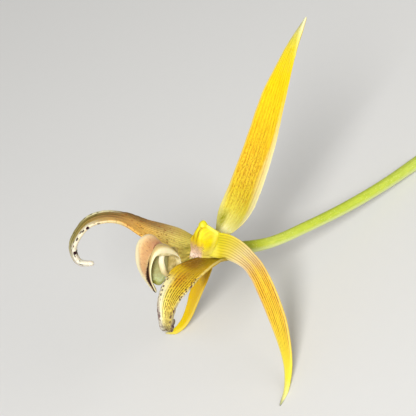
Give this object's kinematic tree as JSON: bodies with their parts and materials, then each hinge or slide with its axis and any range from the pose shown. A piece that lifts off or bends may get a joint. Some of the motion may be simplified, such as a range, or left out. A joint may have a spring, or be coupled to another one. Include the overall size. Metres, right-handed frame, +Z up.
{
  "type": "bulbophyllum orchid flower",
  "caption": "Picked bulbophyllum orchid flower: tall dorsal sepal, curled lateral sepals, drooping narrow petals, short column and arched hinged lip on a long curved pedicel",
  "frame": {"origin": "on the surface the flower lies on, under the middle of its bounding box", "axes": "+Z up; +X towards the cut end of the pedicel, so the lip points to -X; +Y across the flower, towards its left side as seen by someone facing it"},
  "size_m": [0.1038, 0.0531, 0.0755],
  "materials": {
    "column": "waxy lemon yellow flesh, pinkish white foot with fine purple speckles",
    "anther_cap": "smooth waxy pale yellow",
    "lip": "fleshy peach and cream, mauve shade and a dark maroon groove, pale green keel",
    "dorsal_sepal": "waxy golden yellow with fine orange-brown streaks, cream margins and tip",
    "lateral_sepal": "waxy tan and yellow with broken brown veins, pale margins dotted dark purple",
    "petal": "waxy lemon to golden yellow, fine parallel veins, pale margins",
    "pedicel": "smooth yellow-green stalk with fine pale specks"
  },
  "bodies": {
    "root": {"column": "column", "anther_cap": "anther_cap", "lip": "lip", "dorsal_sepal": "dorsal_sepal", "lateral_sepal_right": "lateral_sepal", "lateral_sepal_left": "lateral_sepal", "petal_right": "petal", "petal_left": "petal", "pedicel": "pedicel"}
  },
  "joints": []
}
